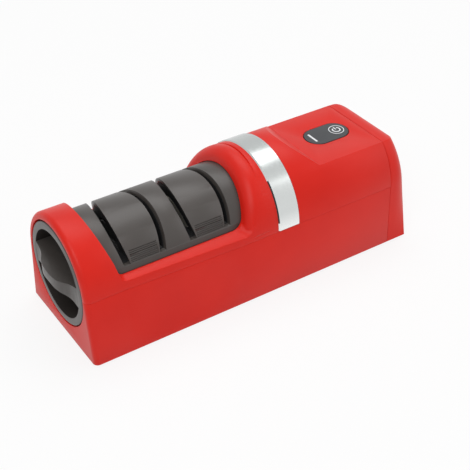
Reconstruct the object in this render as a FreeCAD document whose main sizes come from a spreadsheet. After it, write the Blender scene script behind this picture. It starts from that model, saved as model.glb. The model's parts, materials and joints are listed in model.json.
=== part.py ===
import FreeCAD, Part
import math
import os
import Sketcher
from FreeCAD import Vector, Rotation, Placement

# Electric knife sharpener, built piece by piece in one shared frame.
# X runs along the length with the end knob at -X, -Y is the near long side and +Z is up.
# Heights in the sheet are measured from the underside of the housing; the feet stand below it.

doc = FreeCAD.newDocument("knife_sharpener")
sheet = doc.addObject("Spreadsheet::Sheet", "Sheet")

# Driving dimensions in mm
SIZES = [
    ("body_length", 176.0, "housing, end to end"),
    ("body_width", 63.0, "housing, at its underside"),
    ("hood_height", 62.0, "top of the motor hood"),
    ("hood_draft", 0.04, "side lean of the hood, mm per mm"),
    ("front_height", 59.2, "top of the front ring"),
    ("front_draft", 0.098, "side lean of the front ring, mm per mm"),
    ("foot_proud", 0.8, "feet below the housing"),
    ("wall", 2.2, "housing wall"),
    ("parting_height", 32.3, "joint between lower and upper housing"),
    ("parting_gap", 0.12, "open line at that joint"),
    ("front_fillet", 2.5, "edge round the front face"),
    ("ledge_height", 37.6, "lip beside the barrel"),
    ("ring_foot", 18.4, "front face to the ring's rear edge, at the ledge"),
    ("opening_length", 62.5, "barrel opening, at the ledge"),
    ("opening_rake", 16.0, "lean of the opening's two ends, degrees"),
    ("opening_corner_front", 3.0, "corner radius of the opening by the ring"),
    ("opening_corner_rear", 6.0, "corner radius of the opening by the hood"),
    ("lip_fall", 2.2, "fall of the lip from the barrel to the outside"),
    ("lip_front", 0.8, "spread of the lip towards the ring"),
    ("lip_rear", 4.5, "spread of the lip towards the hood"),
    ("nose_length", 7.0, "rounded shoulder of the hood along X"),
    ("nose_step", 1.3, "flat left round the barrel before the shoulder"),
    ("flat_start", 116.0, "front face to the start of the slope"),
    ("flat_height", 53.4, "flat top behind the hood"),
    ("flat_slope", 38.0, "slope down to the flat, degrees"),
    ("rear_seam", 164.5, "front face to the rear cap's joint"),
    ("seam_gap", 0.2, "open line at that joint"),
    ("rear_flat", 48.6, "flat top at the rear face"),
    ("rear_arch", 50.0, "arch height of the rear face"),
    ("rear_draft", 0.2, "side lean of the rear face, mm per mm"),
    ("rear_power", 3.2, "how late the rear cap draws in"),
    ("band_start", 97.65, "front face to the chrome band"),
    ("band_width", 11.85, "chrome band along X"),
    ("band_proud", 0.5, "chrome band above the hood"),
    ("band_sunk", 0.8, "chrome band below the hood's surface"),
    ("barrel_radius", 24.2, "grey barrel"),
    ("barrel_height", 31.7, "barrel and spindle axis"),
    ("barrel_wall", 2.0, "barrel shell"),
    ("barrel_start", 11.0, "front face to the barrel"),
    ("barrel_length", 79.0, "barrel, end to end"),
    ("barrel_gap", 0.3, "housing clear of the barrel"),
    ("coarse_station", 32.35, "front face to the middle of the coarse pair"),
    ("station_pitch", 33.35, "coarse pair to fine pair"),
    ("slot_width", 3.1, "blade slot"),
    ("slot_tilt", 14.1, "lean of a slot from upright, degrees"),
    ("slot_toe", 6.4, "toe-in of a slot seen from above, degrees"),
    ("slot_half_gap", 7.5, "middle of the pair to a slot, at the edge height"),
    ("slot_edge_height", 45.0, "height where the blade edge meets the wheel"),
    ("slot_floor", 40.3, "lowest point of a slot"),
    ("guide_length", 25.4, "blade guide along X"),
    ("guide_floor", 36.8, "underside of a blade guide"),
    ("guide_fit", 0.3, "guide clear of the barrel"),
    ("wheel_radius", 15.0, "grinding wheel"),
    ("wheel_rim", 12.0, "grinding wheel across its rim"),
    ("wheel_waist", 7.0, "grinding wheel across its web"),
    ("wheel_hub_length", 13.0, "grinding wheel hub"),
    ("wheel_hub_radius", 5.0, "grinding wheel hub"),
    ("wheel_room", 0.9, "guide clear of the wheel"),
    ("spindle_radius", 2.5, "spindle"),
    ("running_fit", 0.05, "radial clearance of a running shaft"),
    ("spindle_end", 96.5, "front face to the spindle's rear end"),
    ("spindle_nose", 19.0, "front face to the spindle's front end"),
    ("shoulder_radius", 4.0, "spindle shoulder and spacer"),
    ("shoulder_length", 4.5, "spindle shoulder"),
    ("carrier_start", 17.0, "front face to the bearing carrier"),
    ("carrier_thick", 2.4, "bearing carrier plate"),
    ("bearing_radius", 5.0, "bearing bushes, outside"),
    ("bearing_length", 4.8, "bearing bushes"),
    ("bearing_flange", 1.0, "bearing flange, radially and along X"),
    ("nut_thick", 3.6, "spindle nut"),
    ("nut_radius", 4.6, "spindle nut, centre to corner"),
    ("knob_radius", 24.4, "end knob"),
    ("knob_height", 30.8, "end knob axis"),
    ("knob_gap", 0.5, "open ring round the knob"),
    ("knob_depth", 10.5, "end knob along X"),
    ("knob_rim", 3.6, "end knob rim"),
    ("pocket_depth", 9.0, "finger pockets"),
    ("grip_proud", 4.0, "grip bar in front of the face, in the middle"),
    ("grip_waist", 2.4, "grip bar half height in the middle"),
    ("grip_flare", 5.6, "grip bar half height at the rim"),
    ("spigot_radius", 15.5, "bayonet spigot"),
    ("spigot_reach", 4.4, "bayonet spigot behind the knob"),
    ("spigot_wall", 2.0, "bayonet spigot wall"),
    ("lug_radius", 17.6, "bayonet lugs"),
    ("lug_thick", 1.5, "bayonet lugs along X"),
    ("lug_angle", 24.0, "bayonet lugs round the axis, degrees"),
    ("play", 0.35, "clearance between pieces that turn slowly"),
    ("seal_width", 1.6, "knob seal, radially"),
    ("bulkhead", 2.1, "wall between barrel and motor"),
    ("bulkhead_hole", 13.0, "radius of its hole"),
    ("coupling_radius", 5.0, "shaft coupling"),
    ("coupling_length", 9.0, "shaft coupling"),
    ("rotor_radius", 1.15, "rotor shaft"),
    ("motor_start", 105.0, "front face to the motor"),
    ("motor_radius", 12.2, "motor case"),
    ("motor_length", 30.5, "motor case"),
    ("motor_wall", 2.6, "motor case with its magnets"),
    ("motor_cap", 2.0, "motor end plates"),
    ("armature_gap", 0.5, "armature clear of the magnets"),
    ("mount_thick", 2.0, "motor mount plate"),
    ("mount_width", 39.0, "motor mount plate"),
    ("mount_drop", 13.5, "mount plate below the axis"),
    ("mount_rise", 12.0, "mount plate above the axis"),
    ("mount_post_y", 15.5, "mount screws from the middle"),
    ("mount_post_drop", 8.5, "mount screws below the axis"),
    ("motor_screw_y", 8.0, "motor screws from the middle"),
    ("motor_screw_radius", 1.0, "motor screws"),
    ("motor_screw_bite", 1.6, "motor screws into the motor case"),
    ("screw_radius", 1.4, "screws"),
    ("screw_head", 2.7, "screw heads"),
    ("head_thick", 1.5, "screw heads"),
    ("cover_thick", 2.4, "base cover"),
    ("cover_gap", 0.25, "base cover clear of the walls"),
    ("post_radius", 4.2, "base screw posts"),
    ("post_height", 12.0, "base screw posts"),
    ("post_front", 9.5, "front face to the front posts"),
    ("post_rear", 157.0, "front face to the rear posts"),
    ("post_y", 24.6, "base screw posts from the middle"),
    ("base_screw_length", 9.0, "base screws under the head"),
    ("foot_radius", 5.5, "rubber feet"),
    ("foot_sunk", 0.8, "rubber feet in the cover"),
    ("foot_front", 22.0, "front face to the front feet"),
    ("foot_rear", 143.0, "front face to the rear feet"),
    ("foot_y", 20.0, "feet from the middle"),
    ("cell_radius", 7.1, "battery cells"),
    ("cell_length", 50.5, "battery cells"),
    ("cell_start", 99.5, "front face to the cells"),
    ("cell_y", 10.2, "cells from the middle"),
    ("tray_thick", 1.4, "battery tray"),
    ("tray_wall", 9.0, "battery tray end walls"),
    ("board_start", 136.5, "front face to the control board"),
    ("board_length", 26.0, "control board"),
    ("board_width", 32.0, "control board"),
    ("board_thick", 1.6, "control board"),
    ("board_top", 45.2, "control board's upper face"),
    ("board_post_radius", 2.6, "board posts"),
    ("board_post_inset", 3.2, "board posts from the board's edges"),
    ("button_middle", 146.8, "front face to the button"),
    ("button_length", 23.8, "button"),
    ("button_width", 14.0, "button"),
    ("button_gap", 0.35, "open line round the button"),
    ("button_proud", 0.2, "button above the flat"),
    ("button_travel", 0.6, "button travel"),
    ("button_flange", 1.1, "button flange, radially and in height"),
    ("flange_gap", 0.1, "flange under the housing"),
    ("stem_radius", 2.0, "button stem"),
    ("switch_size", 6.0, "push switch"),
    ("switch_tall", 3.0, "push switch above the board"),
    ("plunger_radius", 1.7, "switch plunger"),
    ("plunger_proud", 0.8, "switch plunger above the switch"),
    ("plunger_sunk", 0.8, "switch plunger inside the switch"),
    ("lamp_length", 7.4, "indicator bar along Y"),
    ("lamp_width", 1.0, "indicator bar along X"),
    ("lamp_deep", 0.8, "indicator bar depth"),
    ("lamp_offset", 8.2, "indicator bar from the button's middle"),
    ("inlet_height", 14.0, "charging inlet axis"),
    ("inlet_wide", 9.0, "charging inlet"),
    ("inlet_tall", 3.4, "charging inlet"),
    ("inlet_length", 7.4, "charging inlet"),
    ("charge_board_length", 10.5, "charging board"),
    ("charge_board_width", 16.0, "charging board"),
    ("charge_board_thick", 1.2, "charging board"),
]
for row, (name, value, note) in enumerate(SIZES, start=1):
    sheet.set("A%d" % row, name)
    sheet.set("B%d" % row, str(value))
    sheet.setAlias("B%d" % row, name)
    sheet.set("C%d" % row, note)
doc.recompute()


def size(name):
    return float(sheet.get(name))


# Shared positions
FRONT = -(size("body_length") - size("grip_proud")) / 2
LIFT = size("foot_proud")
HALF = size("body_width") / 2
WALL = size("wall")
TOP = size("hood_height") + LIFT
PARTING = size("parting_height") + LIFT
SEAM = FRONT + size("rear_seam")
REAR = FRONT + size("body_length")
AXIS = size("barrel_height") + LIFT
KNOB_AXIS = size("knob_height") + LIFT
BARREL_X = FRONT + size("barrel_start")
BARREL_END = BARREL_X + size("barrel_length")
BORE = size("barrel_radius") + size("barrel_gap")
FLAT = size("flat_height") + LIFT
BULK_X = BARREL_END + size("barrel_gap")
BULK_END = BULK_X + size("bulkhead")
STATIONS = [FRONT + size("coarse_station"), FRONT + size("coarse_station") + size("station_pitch")]
COVER_TOP = LIFT + size("cover_thick")
FAR = 300.0


# Small helpers for computed shapes
def block(x0, x1, y0, y1, z0, z1):
    return Part.makeBox(x1 - x0, y1 - y0, z1 - z0, Vector(x0, y0, z0))


def rod(radius, x0, x1, y=0.0, z=0.0):
    return Part.makeCylinder(radius, x1 - x0, Vector(x0, y, z), Vector(1, 0, 0))


def post(radius, x, y, z0, z1):
    return Part.makeCylinder(radius, z1 - z0, Vector(x, y, z0), Vector(0, 0, 1))


def piece(label, shape):
    item = doc.addObject("Part::Feature", label)
    item.Label = label
    item.Shape = shape
    item.Placement = Placement(Vector(0, 0, 0), Rotation())
    return item


def prism_y(points, y0, y1):
    corners = [Vector(x, y0, z) for x, z in points]
    face = Part.Face(Part.makePolygon(corners + [corners[0]]))
    return face.extrude(Vector(0, y1 - y0, 0))


def above(z):
    return block(-FAR, FAR, -FAR, FAR, z, FAR)


def below(z):
    return block(-FAR, FAR, -FAR, FAR, -FAR, z)


# Arched cross-section: two leaning walls joined by an arc that meets them tangentially
def arch_wire(x, half, height, draft, inset=0.0, floor=0.0, flat=None):
    lean = math.sqrt(1 + draft * draft)
    radius = (half - draft * height) / (lean - draft)
    centre = LIFT + height - radius
    radius = radius - inset
    bottom = LIFT + floor
    foot = half - inset * lean - draft * floor
    side_y = radius / lean
    side_z = centre + radius * draft / lean
    points = [Vector(x, -foot, bottom), Vector(x, foot, bottom), Vector(x, side_y, side_z)]
    edges = [Part.makeLine(points[0], points[1]), Part.makeLine(points[1], points[2])]
    if flat is None:
        crown = Vector(x, 0, centre + radius)
        last = Vector(x, -side_y, side_z)
        edges.append(Part.Arc(points[2], crown, last).toShape())
    else:
        cut = LIFT + flat - inset
        cut_y = math.sqrt(radius * radius - (cut - centre) ** 2)
        middle = 0.5 * (math.atan2(cut - centre, cut_y) + math.atan2(side_z - centre, side_y))
        way_y = radius * math.cos(middle)
        way_z = centre + radius * math.sin(middle)
        right = Vector(x, cut_y, cut)
        left = Vector(x, -cut_y, cut)
        last = Vector(x, -side_y, side_z)
        edges.append(Part.Arc(points[2], Vector(x, way_y, way_z), right).toShape())
        edges.append(Part.makeLine(right, left))
        edges.append(Part.Arc(left, Vector(x, -way_y, way_z), last).toShape())
    edges.append(Part.makeLine(last, points[0]))
    return Part.Wire(edges)


def front_section(x, inset=0.0, floor=0.0):
    return arch_wire(x, HALF, size("front_height"), size("front_draft"), inset, floor)


def hood_section(x, inset=0.0, floor=0.0, flat=None):
    return arch_wire(x, HALF, size("hood_height"), size("hood_draft"), inset, floor, flat)


RING_END = FRONT + size("ring_foot") - 1.0
HOOD_START = FRONT + size("ring_foot") + size("opening_length") - 2.0


def envelope(x0, x1, inset=0.0, floor=0.0):
    front = Part.Face(front_section(x0, inset, floor)).extrude(Vector(RING_END - x0, 0, 0))
    sections = [front_section(RING_END, inset, floor), hood_section(HOOD_START, inset, floor)]
    middle = Part.makeLoft(sections, True, True)
    hood = Part.Face(hood_section(HOOD_START, inset, floor)).extrude(Vector(x1 - HOOD_START, 0, 0))
    return front.fuse(middle).fuse(hood)


# Outside of the housing, with the front face's edge rounded
def outer_body():
    front = Part.Face(front_section(FRONT)).extrude(Vector(RING_END - FRONT, 0, 0))
    edges = [e for e in front.Edges
             if abs(e.BoundBox.XMin - FRONT) < 1e-4 and abs(e.BoundBox.XMax - FRONT) < 1e-4
             and e.BoundBox.ZMax > LIFT + 1]
    front = front.makeFillet(size("front_fillet"), edges)
    sections = [front_section(RING_END), hood_section(HOOD_START)]
    middle = Part.makeLoft(sections, True, True)
    hood = Part.Face(hood_section(HOOD_START)).extrude(Vector(SEAM - HOOD_START, 0, 0))
    return front.fuse([middle, hood])


# Corner of a side profile rounded by an arc: start, middle and end points
def round_corner(corner, before, after, radius):
    a = (before - corner).normalize()
    b = (after - corner).normalize()
    half = a.getAngle(b) / 2
    middle = (a + b).normalize()
    reach = radius / math.tan(half)
    centre = corner + middle * (radius / math.sin(half))
    return corner + a * reach, centre - middle * radius, corner + b * reach


# Side view of the opening that shows the barrel: raked ends and two corner radii
def opening_wire(y, fall=0.0, ahead=0.0, behind=0.0):
    ledge = LIFT + size("ledge_height") - fall
    rake = math.tan(math.radians(size("opening_rake")))
    x0 = FRONT + size("ring_foot") - ahead
    x1 = FRONT + size("ring_foot") + size("opening_length") + behind
    high = TOP + 5
    climb = (high - ledge) * rake
    corners = [Vector(x0 - climb, y, high), Vector(x0, y, ledge), Vector(x1, y, ledge), Vector(x1 + climb, y, high)]
    first = round_corner(corners[1], corners[0], corners[2], size("opening_corner_front"))
    second = round_corner(corners[2], corners[1], corners[3], size("opening_corner_rear"))
    return Part.Wire([
        Part.makeLine(corners[0], first[0]), Part.Arc(*first).toShape(),
        Part.makeLine(first[2], second[0]), Part.Arc(*second).toShape(),
        Part.makeLine(second[2], corners[3]), Part.makeLine(corners[3], corners[0])])


# The opening is straight over the barrel, and its lip falls away towards both sides
def opening_tool():
    inner = BORE - 0.1
    outer = HALF + 1
    spread = (size("lip_fall"), size("lip_front"), size("lip_rear"))
    sections = [opening_wire(-outer, *spread), opening_wire(-inner), opening_wire(inner), opening_wire(outer, *spread)]
    return Part.makeLoft(sections, True, True)


# Shoulder of the hood: what lies outside a quarter ellipse turned round the leaning hood front
def nose_tool():
    rake = size("opening_rake")
    low = size("barrel_radius") + size("nose_step")
    high = size("hood_height") - size("barrel_height") + 0.6
    length = size("nose_length")
    start = Vector(0, low, 0)
    end = Vector(length, high, 0)
    angle = math.radians(45)
    way = Vector(length * (1 - math.cos(angle)), low + (high - low) * math.sin(angle), 0)
    edges = [
        Part.Arc(start, way, end).toShape(),
        Part.makeLine(end, Vector(length, high + 8, 0)),
        Part.makeLine(Vector(length, high + 8, 0), Vector(-8, high + 8, 0)),
        Part.makeLine(Vector(-8, high + 8, 0), Vector(-8, low, 0)),
        Part.makeLine(Vector(-8, low, 0), start),
    ]
    tool = Part.Face(Part.Wire(edges)).revolve(Vector(0, 0, 0), Vector(1, 0, 0), 360)
    tool.rotate(Vector(0, 0, 0), Vector(0, 1, 0), rake)
    back = (size("ledge_height") - size("barrel_height")) * math.tan(math.radians(rake))
    x = FRONT + size("ring_foot") + size("opening_length") - back
    tool.translate(Vector(x, 0, AXIS))
    return tool.common(above(LIFT + size("ledge_height") + 2))


# Everything above the slope and the flat top
def flat_tool(drop=0.0, end=FAR):
    slope = math.radians(size("flat_slope"))
    x0 = FRONT + size("flat_start") - drop * math.tan(slope / 2)
    run = (TOP - FLAT) / math.tan(slope)
    low = FLAT - drop
    up = 6.0
    start = (x0 - up / math.tan(slope), TOP - drop + up)
    return prism_y([start, (x0 + run, low), (end, low), (end, TOP + up)], -FAR / 4, FAR / 4)


def band_shape(outset, inset):
    x0 = FRONT + size("band_start")
    x1 = x0 + size("band_width")
    outer = Part.Face(hood_section(x0, -outset)).extrude(Vector(x1 - x0, 0, 0))
    inner = Part.Face(hood_section(x0 - 1, inset, -5.0)).extrude(Vector(x1 - x0 + 2, 0, 0))
    return outer.cut(inner).common(above(PARTING + size("parting_gap")))


def pill(length, width, x, z0, z1):
    radius = width / 2
    reach = (length - width) / 2
    shape = block(x - reach, x + reach, -radius, radius, z0, z1)
    return shape.fuse([post(radius, x - reach, 0, z0, z1), post(radius, x + reach, 0, z0, z1)])


def clean(shape):
    result = shape.removeSplitter()
    if result.ShapeType == "Compound" and len(result.Solids) == 1:
        result = result.Solids[0]
    return result


BUTTON_X = FRONT + size("button_middle")
BOARD_X = FRONT + size("board_start")
BOARD_TOP = LIFT + size("board_top")
BOARD_POSTS = [(BOARD_X + dx, dy)
               for dx in (size("board_post_inset"), size("board_length") - size("board_post_inset"))
               for dy in (size("board_width") / 2 - size("board_post_inset"),
                          -size("board_width") / 2 + size("board_post_inset"))]
BASE_POSTS = [(FRONT + size(name), side * size("post_y"))
              for name in ("post_front", "post_rear") for side in (-1, 1)]
FEET = [(FRONT + size(name), side * size("foot_y"))
        for name in ("foot_front", "foot_rear") for side in (-1, 1)]
MOUNT_X = FRONT + size("motor_start") - size("mount_thick")


# Upper housing: front ring, the two rails beside the barrel, and the hood over the motor
def upper_housing():
    shell = outer_body().common(above(PARTING + size("parting_gap")))
    shell = shell.cut(opening_tool())
    shell = shell.cut(flat_tool())
    shell = shell.cut(nose_tool())
    shell = shell.cut(rod(BORE, FRONT - 5, BULK_X, 0, AXIS))
    shell = shell.cut(rod(size("knob_radius") + size("knob_gap"), FRONT - 5, BARREL_X - 0.3, 0, KNOB_AXIS))
    void = Part.Face(hood_section(BULK_END, WALL, -5.0)).extrude(Vector(SEAM + 1 - BULK_END, 0, 0))
    void = void.cut(flat_tool(WALL))
    shell = shell.cut(void)
    shell = shell.cut(rod(size("bulkhead_hole"), BULK_X - 1, BULK_END + 1, 0, AXIS))
    shell = shell.cut(band_shape(3.0, size("band_sunk")))
    gap = 2 * size("button_gap")
    hole = pill(size("button_length") + gap, size("button_width") + gap, BUTTON_X, FLAT - WALL - 1, FLAT + 1)
    shell = shell.cut(hole)
    for x, y in BOARD_POSTS:
        shell = shell.fuse(post(size("board_post_radius"), x, y, BOARD_TOP, FLAT - WALL / 2))
        shell = shell.cut(post(size("screw_radius"), x, y, BOARD_TOP - 1, BOARD_TOP + 4.5))
    return clean(shell)


# Lower housing: tub with the front wall, barrel cradles, bulkhead and screw posts
def lower_housing():
    floor = -5.0
    shell = outer_body().common(below(PARTING))
    void = envelope(FRONT + WALL, SEAM + 1, WALL, floor)
    knob_bore = size("knob_radius") + size("knob_gap")
    sleeve = rod(knob_bore + 1.6, FRONT + 1, BARREL_X - 0.3, 0, KNOB_AXIS)
    inside = [sleeve]
    for x in (FRONT + 28.0, FRONT + 70.0):
        inside.append(block(x, x + 2, -HALF, HALF, COVER_TOP, PARTING))
    inside.append(block(BULK_X, BULK_END, -HALF, HALF, COVER_TOP, PARTING))
    for x, y in BASE_POSTS:
        inside.append(post(size("post_radius"), x, y, COVER_TOP, LIFT + size("post_height")))
        side = math.copysign(HALF, y)
        inside.append(block(x - 1, x + 1, min(y, side), max(y, side), COVER_TOP, LIFT + size("post_height")))
    for side in (-1, 1):
        inside.append(rod(3.2, BULK_END - 0.5, MOUNT_X, side * size("mount_post_y"),
                          AXIS - size("mount_post_drop")))
    kept = inside[0].fuse(inside[1:]).common(void).common(below(PARTING))
    shell = shell.cut(void).fuse(kept)
    shell = shell.cut(rod(knob_bore, FRONT - 5, BARREL_X - 0.3, 0, KNOB_AXIS))
    shell = shell.cut(rod(BORE - 0.2, BARREL_X - 0.3, BULK_X, 0, AXIS))
    shell = shell.cut(rod(size("bulkhead_hole"), BULK_X - 1, BULK_END + 1, 0, AXIS))
    for x, y in BASE_POSTS:
        shell = shell.cut(post(size("screw_radius"), x, y, COVER_TOP - 1, COVER_TOP + 10))
    for side in (-1, 1):
        y = side * size("mount_post_y")
        shell = shell.cut(rod(size("screw_radius"), MOUNT_X - 6, MOUNT_X + 1, y, AXIS - size("mount_post_drop")))
    return clean(shell)


# Rear cap: swells from the seam, then draws in to a smaller rear face
def rear_cap():
    x0 = SEAM + size("seam_gap")
    sections = []
    for step in (0.0, 0.35, 0.6, 0.8, 0.93, 1.0):
        part = step ** size("rear_power")
        height = size("hood_height") + part * (size("rear_arch") - size("hood_height"))
        draft = size("hood_draft") + part * (size("rear_draft") - size("hood_draft"))
        flat = size("flat_height") + part * (size("rear_flat") - size("flat_height"))
        sections.append(arch_wire(x0 + step * (REAR - x0), HALF, height, draft, 0, 0, flat))
    shell = Part.makeLoft(sections, True, False)
    inner = arch_wire(x0 - 1, HALF, size("rear_arch"), size("rear_draft"), WALL, WALL, size("rear_flat"))
    void = Part.Face(inner).extrude(Vector(REAR - WALL - x0 + 1, 0, 0))
    shell = shell.cut(void)
    wide = size("inlet_wide") / 2
    low = LIFT + size("inlet_height") - size("inlet_tall") / 2
    shell = shell.cut(block(REAR - 5, REAR + 5, -wide, wide, low, low + size("inlet_tall")))
    shelf_top = low - size("charge_board_thick")
    half = size("charge_board_width") / 2
    for side in (-1, 1):
        y = side * (half - 1.5)
        shelf = block(REAR - WALL - 9, REAR - WALL + 0.5, y - 1, y + 1, LIFT + WALL - 0.5, shelf_top)
        shell = shell.fuse(shelf)
    return clean(shell)


# Chrome band let into the hood
def chrome_band():
    return clean(band_shape(size("band_proud"), size("band_sunk")))


# One leaning, toed-in blade slot as a flat slab; side is -1 or +1 within the pair
def slot_slab(station, side):
    edge_z = LIFT + size("slot_edge_height")
    slab = Part.makeBox(size("slot_width"), 90, 60, Vector(-size("slot_width") / 2, -45, -30))
    slab.rotate(Vector(0, 0, 0), Vector(0, 1, 0), side * size("slot_tilt"))
    slab.rotate(Vector(0, 0, 0), Vector(0, 0, 1), -side * -size("slot_toe"))
    slab.translate(Vector(station + side * size("slot_half_gap"), 0, edge_z))
    return slab.common(above(LIFT + size("slot_floor")))


# Barrel: grey tube with four blade slots, a bayonet opening in front and a bearing wall behind
def barrel_cover():
    wall = size("barrel_wall")
    radius = size("barrel_radius")
    tube = rod(radius, BARREL_X, BARREL_END, 0, AXIS)
    tube = tube.cut(rod(radius - wall, BARREL_X + wall, BARREL_END - wall, 0, AXIS))
    tube = tube.cut(rod(size("spigot_radius") + size("play"), BARREL_X - 1, BARREL_X + wall + 1, 0, KNOB_AXIS))
    notch = lug_shape(size("lug_radius") + size("play"), BARREL_X - 1, BARREL_X + wall + 1,
                      size("lug_angle") + 6, 60.0)
    tube = tube.cut(notch)
    tube = tube.cut(rod(size("bearing_radius"), BARREL_END - wall - 1, BARREL_END + 1, 0, AXIS))
    for station in STATIONS:
        for side in (-1, 1):
            tube = tube.cut(slot_slab(station, side))
    return clean(tube)


# Two opposite sectors round the knob axis, used for the lugs and for the notches they pass
def lug_shape(radius, x0, x1, angle, turn):
    lugs = []
    for start in (0.0, 180.0):
        sector = Part.makeCylinder(radius, x1 - x0, Vector(0, 0, 0), Vector(0, 0, 1), angle)
        sector.rotate(Vector(0, 0, 0), Vector(0, 0, 1), start + turn - angle / 2)
        sector.rotate(Vector(0, 0, 0), Vector(0, 1, 0), 90)
        sector.translate(Vector(x0, 0, KNOB_AXIS))
        lugs.append(sector)
    return lugs[0].fuse(lugs[1])


# Black guide under each pair of slots, with a pocket for the wheel
def blade_guide(station):
    half = size("guide_length") / 2
    radius = size("barrel_radius") - size("barrel_wall") - size("guide_fit")
    guide = rod(radius, station - half, station + half, 0, AXIS).common(above(LIFT + size("guide_floor")))
    room = size("wheel_room")
    reach = size("wheel_rim") / 2 + room
    guide = guide.cut(rod(size("wheel_radius") + room, station - reach, station + reach, 0, AXIS))
    guide = guide.cut(rod(size("wheel_hub_radius") + room, station - half - 1, station + half + 1, 0, AXIS))
    for side in (-1, 1):
        guide = guide.cut(slot_slab(station, side))
    return guide


# Plan view of the grip bar: flush at the rim and swelling forwards in the middle
def grip_plan(reach):
    proud = size("grip_proud")
    shape = [(1.0, 0.0), (0.8, 0.02), (0.62, 0.2), (0.43, 0.68), (0.22, 0.96), (0.0, 1.0)]
    low = KNOB_AXIS - 15
    points = [Vector(FRONT - proud * rise, -reach * part, low) for part, rise in shape]
    points = points + [Vector(p.x, -p.y, low) for p in reversed(points[:-1])]
    curve = Part.BSplineCurve()
    curve.interpolate(points)
    back = FRONT + size("pocket_depth") + 0.5
    corners = [Vector(back, reach, low), Vector(back, -reach, low)]
    edges = [curve.toShape(), Part.makeLine(points[-1], corners[0]), Part.makeLine(corners[0], corners[1]),
             Part.makeLine(corners[1], points[0])]
    return Part.Face(Part.Wire(edges)).extrude(Vector(0, 0, 30))


# End knob: rim, two finger pockets either side of a waisted grip bar, spigot with bayonet lugs
def knob_cap():
    radius = size("knob_radius")
    back = FRONT + size("knob_depth")
    knob = rod(radius, FRONT, back, 0, KNOB_AXIS)
    rim = [e for e in knob.Edges if abs(e.BoundBox.XMin - FRONT) < 1e-4 and abs(e.BoundBox.XMax - FRONT) < 1e-4]
    knob = knob.makeFillet(0.6, rim)
    dish = radius - size("knob_rim")
    pocket = rod(dish, FRONT - 1, FRONT + size("pocket_depth"), 0, KNOB_AXIS)
    waist = size("grip_waist")
    flare = size("grip_flare")
    x0 = FRONT - size("grip_proud") - 1
    upper = Part.Arc(Vector(x0, dish, KNOB_AXIS + flare), Vector(x0, 0, KNOB_AXIS + waist),
                     Vector(x0, -dish, KNOB_AXIS + flare)).toShape()
    lower = Part.Arc(Vector(x0, -dish, KNOB_AXIS - flare), Vector(x0, 0, KNOB_AXIS - waist),
                     Vector(x0, dish, KNOB_AXIS - flare)).toShape()
    near = Part.makeLine(Vector(x0, -dish, KNOB_AXIS + flare), Vector(x0, -dish, KNOB_AXIS - flare))
    far = Part.makeLine(Vector(x0, dish, KNOB_AXIS - flare), Vector(x0, dish, KNOB_AXIS + flare))
    bar = Part.Face(Part.Wire([upper, near, lower, far])).extrude(Vector(size("pocket_depth") + 8, 0, 0))
    bar = bar.common(grip_plan(dish + 1))
    knob = knob.cut(pocket.cut(bar)).fuse(bar)
    reach = size("spigot_reach")
    spigot = rod(size("spigot_radius"), back - 0.5, back + reach, 0, KNOB_AXIS)
    spigot = spigot.cut(rod(size("spigot_radius") - size("spigot_wall"), back, back + reach + 1, 0, KNOB_AXIS))
    knob = knob.fuse(spigot)
    lugs = lug_shape(size("lug_radius"), back + reach - size("lug_thick"), back + reach, size("lug_angle"), 0.0)
    lugs = lugs.cut(rod(size("spigot_radius") - size("spigot_wall"), back, back + reach + 1, 0, KNOB_AXIS))
    return clean(knob.fuse(lugs))


# Base cover with counterbored screw holes and recesses for the feet
def base_cover():
    gap = size("cover_gap")
    x0 = FRONT + WALL + gap
    x1 = SEAM - gap
    lean = size("front_draft") * size("cover_thick")
    half = HALF - WALL * 1.01 - gap - lean
    cover = block(x0, x1, -half, half, LIFT, COVER_TOP)
    for x, y in BASE_POSTS:
        cover = cover.cut(post(size("screw_radius") + 0.1, x, y, LIFT - 1, COVER_TOP + 1))
        cover = cover.cut(post(size("screw_head") + 0.15, x, y, LIFT - 1, LIFT + size("head_thick")))
    for x, y in FEET:
        cover = cover.cut(post(size("foot_radius"), x, y, LIFT - 1, LIFT + size("foot_sunk")))
    return cover


def rubber_feet():
    feet = [post(size("foot_radius"), x, y, 0, LIFT + size("foot_sunk")) for x, y in FEET]
    return Part.makeCompound(feet)


def upright_screw(x, y, head_z, length, up=1):
    head = post(size("screw_head"), x, y, min(head_z, head_z - up * size("head_thick")),
                max(head_z, head_z - up * size("head_thick")))
    shank = post(size("screw_radius"), x, y, min(head_z, head_z + up * length), max(head_z, head_z + up * length))
    return head.fuse(shank)


def base_screws():
    z = LIFT + size("head_thick")
    return Part.makeCompound([upright_screw(x, y, z, size("base_screw_length")) for x, y in BASE_POSTS])


def board_screws():
    z = BOARD_TOP - size("board_thick")
    return Part.makeCompound([upright_screw(x, y, z, size("board_thick") + 4.0) for x, y in BOARD_POSTS])


def mount_screws():
    screws = []
    for side in (-1, 1):
        y = side * size("mount_post_y")
        z = AXIS - size("mount_post_drop")
        face = MOUNT_X + size("mount_thick")
        head = rod(size("screw_head"), face, face + size("head_thick"), y, z)
        shank = rod(size("screw_radius"), face - size("mount_thick") - 5, face, y, z)
        screws.append(head.fuse(shank))
    return Part.makeCompound(screws)


def motor_screws():
    screws = []
    for side in (-1, 1):
        y = side * size("motor_screw_y")
        head = rod(2.0, MOUNT_X - 1.2, MOUNT_X, y, AXIS)
        end = MOUNT_X + size("mount_thick") + size("motor_screw_bite")
        shank = rod(size("motor_screw_radius"), MOUNT_X, end, y, AXIS)
        screws.append(head.fuse(shank))
    return Part.makeCompound(screws)


CELL_Z = COVER_TOP + size("tray_thick") + size("cell_radius")
CELL_X = FRONT + size("cell_start")


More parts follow.
